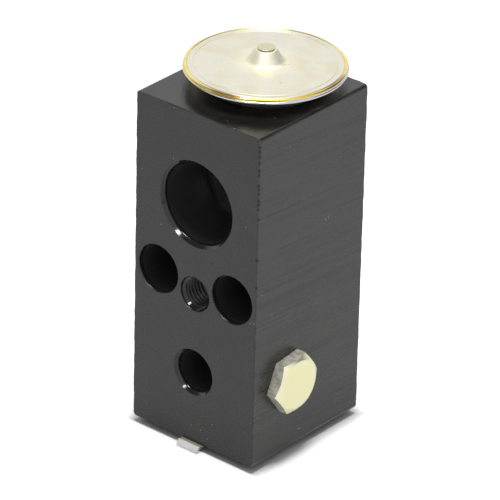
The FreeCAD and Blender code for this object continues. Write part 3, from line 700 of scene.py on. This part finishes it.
def drawn_back(point, y):
    """How far the saw left the edge back at a point, and the share of that which is a nick."""
    slow = noise.noise(point / (2.6 * mm)) + 0.5 * noise.noise(point / (0.9 * mm))
    waver = waver_depth * max(0.0, 0.35 + 0.6 * slow)
    nick = 0.0
    if y == front_y and point.x > half_width - bar_corner:
        for height in corner_nicks:
            nick = max(nick, 1 - ((point.z - height * mm) / nick_reach) ** 2)
    return waver + nick_depth * nick, nick


def tear_outline(bm, y):
    # This layer marks the nicks, where the skin gets painted shade.
    nick_shade = bm.verts.layers.float.get("nick_shade") or bm.verts.layers.float.new("nick_shade")
    back = 1 if y == front_y else -1
    for vert in bm.verts:
        depth, inward = off_outline(vert.co)
        from_plane = abs(vert.co.y - y)
        if max(depth, from_plane) > 1.05 * edge_break:
            continue
        slide, nick = drawn_back(vert.co, y)
        in_face = 1 - from_plane / edge_break
        in_side = 1 - depth / edge_break
        vert.co += inward * (slide * max(0.0, in_face)) + Y * (back * slide * max(0.0, in_side))
        vert[nick_shade] = nick * min(1.0, 4 * in_face * in_side)


# %% The finished block
def make_block():
    bm = merged_copy("body_block")
    framed(bm)
    bores = [face for face in bm.faces if in_a_bore(face)]
    for face in bores:
        face.material_index = 1
    for y in (front_y, rear_y):
        outline = divide_outline(bm, y)
        bmesh.ops.bevel(bm, geom=outline, offset=edge_break, segments=2, profile=0.5,
                        affect="EDGES", material=-1, clamp_overlap=False)
        print("sawn outline at", round(y / mm, 2), "mm:", len(outline), "short edges")
        tear_outline(bm, y)
    return bm


block = level_normals(stand_for("anodised_block", make_block(), "body_block"))
block.data.materials.append(anodised_bore)

# %% [markdown]
# ## Turned pieces
#
# Every piece of the head is round, so each new one is a closed outline in the XZ plane, spun
# round the axis. `arc` gives the points of a round stretch, so an outline stays a short list.


# %% Spinning an outline
def arc(centre, radius, start, end, count):
    """Points on an arc in (radius, height), angles in degrees."""
    angles = [math.radians(start + (end - start) * i / count) for i in range(count + 1)]
    return [(centre[0] + radius[0] * math.cos(a), centre[1] + radius[1] * math.sin(a)) for a in angles]


def turned(outline, steps):
    bm = bmesh.new()
    verts = [bm.verts.new((r, 0, z)) for r, z in outline]
    edges = [bm.edges.new(pair) for pair in zip(verts, verts[1:] + verts[:1])]
    bmesh.ops.spin(bm, geom=verts + edges, cent=(0, 0, 0), axis=Z, angle=2 * math.pi,
                   steps=steps, use_merge=True, use_duplicate=False)
    bmesh.ops.remove_doubles(bm, verts=bm.verts, dist=merge_distance)
    bmesh.ops.recalc_face_normals(bm, faces=bm.faces)
    return bm


# %% [markdown]
# ## The upper shell
#
# The lid is a pressed disc. From the rim inwards it has a flat land, a fine groove where the
# press punch stopped, a slow crown, a faint ring and the boss, a hollow cone. The boss's foot
# has a wide round, so it grows softly out of the plateau, and its crest a small one. `fillet`
# finds the arc that rounds one corner of the outline.

# %% Lid
lid_low, lid_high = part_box("head_lid")
lid_edge = lid_high.x
sheet = 0.7 * mm
lid_top = lid_low.z + sheet
boss_top = lid_high.z
boss_foot = boss_top - 2.95 * mm
boss_foot_radius = 4.1 * mm
boss_top_radius = 2.45 * mm
boss_foot_round = 1.3 * mm
boss_crest_round = 0.3 * mm
boss_wall = 1.0 * mm
fill_hole_radius = 1.1 * mm
ring_radius = 7.2 * mm
ring_width = 1.1 * mm
ring_height = 0.12 * mm
land_inner = lid_edge - 0.9 * mm
groove = 0.06 * mm
crown_steps = 8
lid_steps = 256


def fillet(before, corner, after, radius, count=8):
    at = Vector(corner)
    to_before, to_after = (Vector(before) - at).normalized(), (Vector(after) - at).normalized()
    half = to_before.angle(to_after) / 2
    centre = at + (to_before + to_after).normalized() * (radius / math.sin(half))
    start = at + to_before * (radius / math.tan(half)) - centre
    end = at + to_after * (radius / math.tan(half)) - centre
    return [tuple(centre + start.slerp(end, i / count).normalized() * radius) for i in range(count + 1)]


def make_lid():
    crown_start = land_inner - 3 * groove
    crown = []
    for i in range(crown_steps + 1):
        share = i / crown_steps
        rise = (boss_foot - ring_height - lid_top) * math.sin(share * math.pi / 2)
        crown.append((crown_start + (ring_radius - crown_start) * share, lid_top + rise))
    plateau = (ring_radius - ring_width, boss_foot)
    foot, crest = (boss_foot_radius, boss_foot), (boss_top_radius, boss_top)
    hole = (fill_hole_radius, boss_top)
    top_side = [
        (lid_edge, lid_top),
        (land_inner, lid_top),
        (land_inner - groove, lid_top - groove),
        (land_inner - 2 * groove, lid_top - groove),
        *crown,
        plateau,
        *fillet(plateau, foot, crest, boss_foot_round),
        *fillet(foot, crest, hole, boss_crest_round),
        hole,
    ]
    under_side = [
        (fill_hole_radius, boss_top - boss_wall),
        (boss_top_radius - boss_wall, boss_top - boss_wall),
        (boss_foot_radius - sheet, boss_foot - sheet),
        (ring_radius, boss_foot - sheet),
        (land_inner, lid_low.z),
        (lid_edge, lid_low.z),
    ]
    return turned(top_side + under_side, lid_steps)


stand_for("pressed_lid", make_lid(), "head_lid", corner=math.radians(25))

# %% [markdown]
# ## The bead round the rim
#
# Seen from above the rim is a thin gold roll with a silver lip under it. The outline has a
# thin lap over the lid, a crease, the roll, a step and the lip, and closes inside the shells'
# edges, a hair into their metal, so that no gap shows. After spinning, each point outside the
# crease is drawn in by slow noise, so the light along the bead waxes and wanes, as on a
# hand-fed weld.

# %% Bead
bead_edge = bead_high.x
lap_radius = 16.7 * mm
crease_radius = 17.36 * mm
roll_size = (0.42 * mm, 0.36 * mm)
roll_edge = bead_edge - 0.16 * mm
lip_round = 0.2 * mm
lip_middle = bead_high.z - 0.95 * mm
bead_unevenness = 0.05 * mm
bead_bite = 0.05 * mm
bead_steps = 360


def make_bead():
    lap = [(lap_radius, lid_top), (lap_radius + 0.06 * mm, lid_top + 0.04 * mm),
           (crease_radius - 0.08 * mm, lid_top + 0.05 * mm), (crease_radius, lid_top - 0.06 * mm)]
    roll = arc((roll_edge - roll_size[0], bead_high.z - roll_size[1]), roll_size, 150, -30, 14)
    lip = arc((bead_edge - lip_round, lip_middle + 0.06 * mm), (lip_round, lip_round), 80, 0, 6)
    lip += arc((bead_edge - lip_round, lip_middle - 0.12 * mm), (lip_round, lip_round), 0, -70, 6)
    back, under, low = lid_edge - bead_bite, lid_top - bead_bite, bead_low.z + 0.06 * mm
    inner = [(lap_radius + 0.5 * mm, bead_low.z), (lap_radius, low), (back, low), (back, under),
             (lap_radius, under)]
    bm = turned(lap + roll + lip + inner, bead_steps)
    for vert in bm.verts:
        radius = math.hypot(vert.co.x, vert.co.y)
        slow = noise.noise(Vector((vert.co.x, vert.co.y, vert.co.z * 3)) / (3.5 * mm))
        quick = noise.noise(vert.co / (0.9 * mm))
        drawn_in = bead_unevenness * (0.5 + 0.35 * slow + 0.15 * quick)
        if radius > crease_radius:
            vert.co.xy *= (radius - drawn_in) / radius
    return bm


stand_for("rim_bead", make_bead(), "weld_bead", corner=math.radians(50))

# %% [markdown]
# ## The charge plug
#
# A headed pin that was pressed into the filling hole. Its head is a disc with a rounded edge,
# a touch hollow on top. It is undercut, so a dark line shows between it and the boss.

# %% Charge plug
pin_low, pin_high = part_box("charge_plug")
pin_radius = pin_high.x
pin_edge = 0.07 * mm
pin_hollow = 0.03 * mm
pin_collar = pin_radius - 0.8 * mm
undercut = 0.23 * mm
pin_steps = 96


def make_charge_plug():
    top, under = pin_high.z, boss_top + undercut
    rim_top = arc((pin_radius - pin_edge, top - pin_edge), (pin_edge, pin_edge), 90, 0, 4)
    outline = [(0, top - pin_hollow), (pin_radius - 0.6 * mm, top - 0.02 * mm)] + rim_top
    outline += [(pin_radius, under + 0.03 * mm), (pin_radius - 0.05 * mm, under)]
    outline += [(pin_collar, under), (pin_collar, boss_top), (fill_hole_radius, boss_top)]
    outline += [(fill_hole_radius, pin_low.z), (0, pin_low.z)]
    return turned(outline, pin_steps)


stand_for("charge_pin", make_charge_plug(), "charge_plug", corner=math.radians(50))

# %% [markdown]
# ## The hex plug on the side
#
# A hexagon with a round chamfered face has curved edges where the cone meets each flat. The
# easy way to get them right is the real one: turn the chamfered blank first, then cut six
# flats with planes and close each cut. The shank behind it is turned as well, and reaches
# into its hole in the block, with a narrow neck for the seal.

# %% Side plug
across_flats = 12.7 * mm
hex_corner = across_flats / math.sqrt(3)
vertex_angle = 6.0
shank_radius = 4.95 * mm
shank_chamfer = 0.5 * mm
shank_overlap = 0.2 * mm
plug_neck_radius = 4.34 * mm
seal_width = 1.25 * mm
blank_steps, shank_steps = 180, 64
hex_edge = 0.04 * mm
hex_corner_angle = math.radians(15)
hex_bevel_angle = math.radians(18)


def cut_flat(bm, angle):
    away = Vector((math.cos(angle), math.sin(angle), 0))
    everything = bm.verts[:] + bm.edges[:] + bm.faces[:]
    cut = bmesh.ops.bisect_plane(bm, geom=everything, plane_co=away * across_flats / 2,
                                 plane_no=away, clear_outer=True, dist=merge_distance)
    rim = [item for item in cut["geom_cut"] if isinstance(item, bmesh.types.BMEdge)]
    bmesh.ops.contextual_create(bm, geom=rim)


def make_side_plug():
    height = plug_high.x - half_width
    rise = (hex_corner - plug_face_radius) * chamfer_slope
    blank_radius = hex_corner + 0.2 * mm
    bm = turned([(0, 0), (blank_radius, 0), (blank_radius, height - rise),
                 (hex_corner, height - rise), (plug_face_radius, height), (0, height)], blank_steps)
    for index in range(6):
        cut_flat(bm, math.radians(30 + 60 * index))
    shank_end = plug_low.x - half_width
    shank = turned([(0, shank_end), (shank_radius - shank_chamfer, shank_end),
                    (shank_radius, shank_end + shank_chamfer), (shank_radius, -seal_width),
                    (plug_neck_radius, -seal_width), (plug_neck_radius, shank_overlap),
                    (0, shank_overlap)], shank_steps)
    shank_mesh = bpy.data.meshes.new("plug_shank")
    shank.to_mesh(shank_mesh)
    shank.free()
    bm.from_mesh(shank_mesh)
    bpy.data.meshes.remove(shank_mesh)
    bmesh.ops.dissolve_limit(bm, angle_limit=flat_angle, verts=bm.verts, edges=bm.edges)
    turn_about = Matrix.Rotation(math.radians(90 + vertex_angle), 4, "Z")
    lay_down = Matrix.Rotation(math.radians(90), 4, "Y")
    place = Matrix.Translation(Vector((half_width, plug_y, plug_z)))
    bm.transform(place @ (lay_down @ turn_about))
    bmesh.ops.recalc_face_normals(bm, faces=bm.faces)
    return bm


hex_plug = stand_for("hex_plug", make_side_plug(), "side_plug", corner=hex_corner_angle)
soften(hex_plug, hex_edge, angle=hex_bevel_angle)

# %% [markdown]
# ## The thread in the middle hole
#
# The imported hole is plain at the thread's outside diameter. The thread itself is one ridge,
# swept along a helix: the spin operator climbs by one pitch each turn when it is given a
# step along its axis. The ridge shrinks to nothing at both ends, as a tap leaves it.

# %% Internal thread
pitch = 1.0 * mm
thread_radius = 4.0 * mm
thread_depth = 0.58 * mm
thread_turns = 11
thread_steps = 48
stud_z = 39.4 * mm


def make_thread():
    bm = bmesh.new()
    root, crest = thread_radius + 0.03 * mm, thread_radius - thread_depth
    outline = [(root, 0.0), (crest, pitch * 0.42), (crest, pitch * 0.58), (root, pitch)]
    verts = [bm.verts.new((r, front_y + y, 0)) for r, y in outline]
    edges = [bm.edges.new(pair) for pair in zip(verts, verts[1:] + verts[:1])]
    swept = bmesh.ops.spin(bm, geom=verts + edges, cent=(0, 0, 0), axis=Y,
                           dvec=Y * (pitch / thread_steps), angle=2 * math.pi * thread_turns,
                           steps=thread_turns * thread_steps, use_merge=False)
    last = [item for item in swept["geom_last"] if isinstance(item, bmesh.types.BMEdge)]
    bmesh.ops.contextual_create(bm, geom=edges)
    bmesh.ops.contextual_create(bm, geom=last)
    start, end = front_y + 0.1 * mm, front_y + thread_turns * pitch
    for vert in bm.verts:
        radius = math.hypot(vert.co.x, vert.co.z)
        from_mouth = vert.co.y - start
        limit = thread_radius + 0.3 * mm - max(0.0, from_mouth)
        deepest = max(crest, limit, thread_radius - (end - vert.co.y))
        scale = max(radius, min(deepest, root)) / radius
        vert.co.x *= scale
        vert.co.z *= scale
    bmesh.ops.recalc_face_normals(bm, faces=bm.faces)
    bmesh.ops.translate(bm, verts=bm.verts, vec=(0, 0, stud_z))
    return bm


thread = new_piece("stud_thread", make_thread(), "body_block")
thread.data.materials[0] = anodised_bore

# %% [markdown]
# ## The floor, the room and the lamps
#
# The floor is white paint. To camera and glass rays it also glows a little, which makes it
# the white background, but not under the block, where its shadow has to stay dark. At the
# front the glow begins right at the block's face, because the shadow ends sharply there, and
# on the other sides it comes in slowly over a few millimetres, which paints a soft shadow
# beside the block.

# %% Floor
floor_white = 0.92
floor_glow = 0.42
floor_radius = 3.0
front_fade = 0.2 * mm
side_fade = 3 * mm


def make_floor():
    bm = bmesh.new()
    bmesh.ops.create_circle(bm, cap_ends=True, segments=64, radius=floor_radius)
    mesh = bpy.data.meshes.new("studio_floor")
    bm.to_mesh(mesh)
    bm.free()
    floor = bpy.data.objects.new("studio_floor", mesh)
    bpy.context.scene.collection.objects.link(floor)
    finish = Finish("floor_paint", 0.0, 0.9)
    finish.set("Base Color", (floor_white, floor_white, floor_white, 1.0))
    finish.set("Specular IOR Level", 0.0)
    outside = finish.ramp(finish.y, front_y, front_y - front_fade)
    # Beside and behind the block the glow fades in slowly: a painted soft shadow.
    outside = outside | finish.ramp(finish.x, half_width, half_width + side_fade)
    outside = outside | finish.ramp(finish.x, -half_width, -half_width - side_fade)
    outside = outside | finish.ramp(finish.y, rear_y, rear_y + side_fade)
    path = finish.signal.add("ShaderNodeLightPath").socket.node
    camera = Signal(outside.tree, path.outputs["Is Camera Ray"])
    clear = Signal(outside.tree, path.outputs["Is Transmission Ray"])
    seen = (camera | clear) * outside
    glow = finish.signal.add("ShaderNodeEmission", inputs={"Strength": seen * floor_glow})
    paint = Signal(outside.tree, finish.shader.outputs[0])
    both = finish.signal.add("ShaderNodeAddShader", inputs={0: paint, 1: glow})
    outside.tree.links.new(both.socket, outside.tree.nodes["Material Output"].inputs["Surface"])
    mesh.materials.append(finish.done())


make_floor()

# %% [markdown]
# The room is plain white to the camera. Diffuse light comes mostly from its ceiling. In a
# mirror it is white low down and greyer overhead, with two dark parts. One is the rear right
# corner, which the block's rounded upper edge mirrors as a dark line. The other is high up at
# the front left, and darkens what slopes up from the front, such as the rim's near side.

# %% Room
room_light = 0.10
room_top = 4.6
overhead = 0.45
dark_corner = Vector((0.476, 0.676, 0.45)).normalized()
dark_ceiling = Vector((-0.50, -0.55, 0.67)).normalized()
corner_shade, ceiling_shade = 0.05, 0.18


def make_room():
    world = bpy.data.worlds.new("pale_room")
    world.use_nodes = True
    bpy.context.scene.world = world
    tree = world.node_tree
    signal = Signal(tree)
    path = signal.add("ShaderNodeLightPath").socket.node
    camera, glossy, clear = (Signal(tree, path.outputs[kind]) for kind in
                             ("Is Camera Ray", "Is Glossy Ray", "Is Transmission Ray"))
    direction = signal.add("ShaderNodeTexCoord", output="Generated")

    def facing(way, start, stop, to):
        """1 away from a direction, and the value of `to` where the view is close to it."""
        dot = signal.add("ShaderNodeVectorMath", {"operation": "DOT_PRODUCT"},
                         {0: direction, 1: tuple(way)}, output="Value")
        inputs = {"Value": dot, "From Min": start, "From Max": stop, "To Min": 1.0, "To Max": to}
        return signal.add("ShaderNodeMapRange", {"interpolation_type": "SMOOTHSTEP"}, inputs)

    mirrored = facing(dark_corner, 0.85, 0.95, corner_shade) * facing(Z, 0.64, 0.9, overhead)
    mirrored = mirrored * facing(dark_ceiling, 0.8, 0.95, ceiling_shade)
    diffuse = (1 - glossy) * room_light * facing(Z, 0.0, 0.8, room_top)
    seen = camera | clear
    strength = seen + (1 - seen) * (glossy * mirrored + diffuse)
    background = tree.nodes["Background"]
    tree.links.new(strength.socket, background.inputs["Strength"])
    background.inputs["Color"].default_value = (1, 1, 1, 1)
    print("room:", len(tree.nodes), "shader nodes")


make_room()

# %% [markdown]
# Two lamps. The large one hangs almost straight overhead, which keeps the shadow under the
# block and lights the top. The small one stands in front and above, and its work is the sharp
# flash on the large chamfer, on the boss and on the hex's corner. It shows in mirrored light
# alone, because as a common lamp it would also light the dark strip under the front edge.

# %% Lamps
block_middle = (block_low + block_high) / 2
lamp_distance = 0.9


def make_lamp(name, direction, size, power, mirrored_only=False):
    light = bpy.data.lights.new(name, "AREA")
    light.shape = "SQUARE"
    light.size = size
    light.energy = power
    lamp = bpy.data.objects.new(name, light)
    towards = Vector(direction).normalized()
    lamp.location = block_middle + towards * lamp_distance
    lamp.rotation_mode = "QUATERNION"
    lamp.rotation_quaternion = (-towards).to_track_quat("-Z", "Y")
    lamp.visible_diffuse = not mirrored_only
    bpy.context.scene.collection.objects.link(lamp)
    print(f"{name}: {size} m wide, {power} W")


make_lamp("overhead_box", (0.04, -0.03, 0.985), 0.30, 5.8)
make_lamp("front_box", (0.128, -0.694, 0.708), 0.12, 1.8, mirrored_only=True)

# %% [markdown]
# ## The camera
#
# The viewing angle was worked out from the block's corners in the photograph: it looks down
# from the right of the front, with a long lens and a slight roll. The aim is the block's
# middle, moved a fraction of a millimetre to frame it the same way.

# %% Camera
camera_azimuth = 39.745
camera_elevation = 28.438
camera_roll = 1.409
camera_distance = 1.0868
camera_lens = 349.7
aim_right, aim_up = 0.288 * mm, 0.401 * mm


def make_camera():
    azimuth, elevation = math.radians(camera_azimuth), math.radians(camera_elevation)
    back = Vector((math.sin(azimuth) * math.cos(elevation), -math.cos(azimuth) * math.cos(elevation),
                   math.sin(elevation)))
    level = Vector((math.cos(azimuth), math.sin(azimuth), 0))
    upright = back.cross(level)
    roll = math.radians(camera_roll)
    right = level * math.cos(roll) + upright * math.sin(roll)
    up = upright * math.cos(roll) - level * math.sin(roll)
    aim = block_middle + right * aim_right + up * aim_up
    turn = Matrix((right, up, back)).transposed().to_4x4()
    data = bpy.data.cameras.new("photo_view")
    data.lens = camera_lens
    data.sensor_width = 36.0
    data.clip_start = 0.05
    camera = bpy.data.objects.new("photo_view", data)
    camera.matrix_world = Matrix.Translation(aim + back * camera_distance) @ turn
    bpy.context.scene.collection.objects.link(camera)
    bpy.context.scene.camera = camera
    print("camera in mm:", [round(v / mm) for v in camera.location])


make_camera()
bpy.context.scene.view_settings.view_transform = "Standard"
